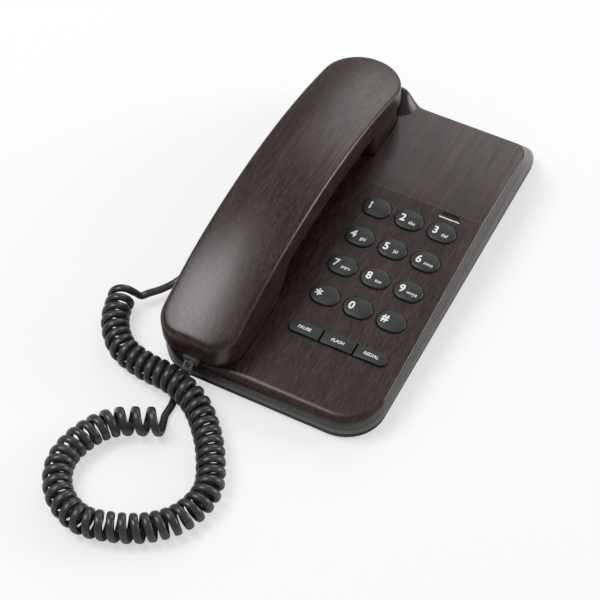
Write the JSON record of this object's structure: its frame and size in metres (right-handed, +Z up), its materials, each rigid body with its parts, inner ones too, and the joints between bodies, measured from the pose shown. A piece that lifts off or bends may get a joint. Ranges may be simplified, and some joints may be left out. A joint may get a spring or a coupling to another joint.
{
  "type": "corded telephone",
  "caption": "Slimline corded desk and wall telephone: wedge base with dial keys and function keys, arched handset lying in its cradle, and a curly cord between them.",
  "frame": {"origin": "on the table, under the middle of the base and handset, cord left out", "axes": "+X to the keypad side, +Y to the rear (the receiver's end), +Z up from the table"},
  "size_m": [0.1629, 0.3302, 0.0623],
  "materials": {
    "brown_shell": "satin, dark brown with a fine streaked wood grain",
    "grey_frame": "satin charcoal grey",
    "black_shell": "fine texture, black",
    "key_plastic": "soft matt black with white legends",
    "cord_vinyl": "glossy black vinyl",
    "clear_plug": "clear moulded plastic",
    "black_plastic": "moulded black",
    "white_plastic": "moulded, off-white",
    "lens": "smoked, dark",
    "mat_rubber": "moulded silicone, grey",
    "foot_rubber": "matt black",
    "circuit_board": "green laminate",
    "screw_steel": "zinc plated",
    "plate_steel": "plain rolled"
  },
  "bodies": {
    "base": {"bottom_shell": "black_shell", "middle_frame": "grey_frame", "top_cover": "brown_shell", "keypad_mat": "mat_rubber", "main_board": "circuit_board", "board_screws": "screw_steel", "base_screws": "screw_steel", "rubber_feet": "foot_rubber", "weight_plate": "plate_steel", "ringer": "black_plastic", "hook_switch": "black_plastic", "line_jack": "black_plastic", "base_jack": "black_plastic", "indicator_lens": "lens", "cord_handset_lead": "cord_vinyl", "cord_curls": "cord_vinyl", "cord_base_lead": "cord_vinyl", "base_plug": "clear_plug"},
    "hook": {"hook_plunger": "white_plastic"},
    "handset": {"handset_upper_shell": "brown_shell", "handset_lower_shell": "brown_shell", "receiver": "black_plastic", "microphone": "black_plastic", "handset_jack": "black_plastic", "handset_weight": "plate_steel", "handset_screws": "screw_steel", "handset_plug": "clear_plug"},
    "key_1": {"key_1": "key_plastic"},
    "key_2": {"key_2": "key_plastic"},
    "key_3": {"key_3": "key_plastic"},
    "key_4": {"key_4": "key_plastic"},
    "key_5": {"key_5": "key_plastic"},
    "key_6": {"key_6": "key_plastic"},
    "key_7": {"key_7": "key_plastic"},
    "key_8": {"key_8": "key_plastic"},
    "key_9": {"key_9": "key_plastic"},
    "key_star": {"key_star": "key_plastic"},
    "key_0": {"key_0": "key_plastic"},
    "key_hash": {"key_hash": "key_plastic"},
    "key_pause": {"key_pause": "key_plastic"},
    "key_flash": {"key_flash": "key_plastic"},
    "key_redial": {"key_redial": "key_plastic"}
  },
  "joints": [
    {"name": "handset_lift", "type": "slide", "parent": "base", "child": "handset", "axis": [-0.0015, -0.0663, 0.9978], "range_m": [0, 0.08]},
    {"name": "hook_rise", "type": "slide", "parent": "base", "child": "hook", "axis": [-0.0015, -0.0663, 0.9978], "range_m": [0, 0.004], "stiffness_N_per_m": 60, "springref_m": 0.006},
    {"name": "key_1_press", "type": "slide", "parent": "base", "child": "key_1", "axis": [0, 0.0924, -0.9957], "range_m": [0, 0.0015], "stiffness_N_per_m": 250, "springref_m": -0.0015},
    {"name": "key_2_press", "type": "slide", "parent": "base", "child": "key_2", "axis": [0, 0.0924, -0.9957], "range_m": [0, 0.0015], "stiffness_N_per_m": 250, "springref_m": -0.0015},
    {"name": "key_3_press", "type": "slide", "parent": "base", "child": "key_3", "axis": [0, 0.0924, -0.9957], "range_m": [0, 0.0015], "stiffness_N_per_m": 250, "springref_m": -0.0015},
    {"name": "key_4_press", "type": "slide", "parent": "base", "child": "key_4", "axis": [0, 0.0924, -0.9957], "range_m": [0, 0.0015], "stiffness_N_per_m": 250, "springref_m": -0.0015},
    {"name": "key_5_press", "type": "slide", "parent": "base", "child": "key_5", "axis": [0, 0.0924, -0.9957], "range_m": [0, 0.0015], "stiffness_N_per_m": 250, "springref_m": -0.0015},
    {"name": "key_6_press", "type": "slide", "parent": "base", "child": "key_6", "axis": [0, 0.0924, -0.9957], "range_m": [0, 0.0015], "stiffness_N_per_m": 250, "springref_m": -0.0015},
    {"name": "key_7_press", "type": "slide", "parent": "base", "child": "key_7", "axis": [0, 0.0924, -0.9957], "range_m": [0, 0.0015], "stiffness_N_per_m": 250, "springref_m": -0.0015},
    {"name": "key_8_press", "type": "slide", "parent": "base", "child": "key_8", "axis": [0, 0.0924, -0.9957], "range_m": [0, 0.0015], "stiffness_N_per_m": 250, "springref_m": -0.0015},
    {"name": "key_9_press", "type": "slide", "parent": "base", "child": "key_9", "axis": [0, 0.0924, -0.9957], "range_m": [0, 0.0015], "stiffness_N_per_m": 250, "springref_m": -0.0015},
    {"name": "key_star_press", "type": "slide", "parent": "base", "child": "key_star", "axis": [0, 0.0924, -0.9957], "range_m": [0, 0.0015], "stiffness_N_per_m": 250, "springref_m": -0.0015},
    {"name": "key_0_press", "type": "slide", "parent": "base", "child": "key_0", "axis": [0, 0.0924, -0.9957], "range_m": [0, 0.0015], "stiffness_N_per_m": 250, "springref_m": -0.0015},
    {"name": "key_hash_press", "type": "slide", "parent": "base", "child": "key_hash", "axis": [0, 0.0924, -0.9957], "range_m": [0, 0.0015], "stiffness_N_per_m": 250, "springref_m": -0.0015},
    {"name": "key_pause_press", "type": "slide", "parent": "base", "child": "key_pause", "axis": [0, 0.0924, -0.9957], "range_m": [0, 0.0015], "stiffness_N_per_m": 250, "springref_m": -0.0015},
    {"name": "key_flash_press", "type": "slide", "parent": "base", "child": "key_flash", "axis": [0, 0.0924, -0.9957], "range_m": [0, 0.0015], "stiffness_N_per_m": 250, "springref_m": -0.0015},
    {"name": "key_redial_press", "type": "slide", "parent": "base", "child": "key_redial", "axis": [0, 0.0924, -0.9957], "range_m": [0, 0.0015], "stiffness_N_per_m": 250, "springref_m": -0.0015}
  ],
  "couplings": [
    {"joint": "hook_rise", "follows": "handset_lift", "ratio": 0.05}
  ]
}
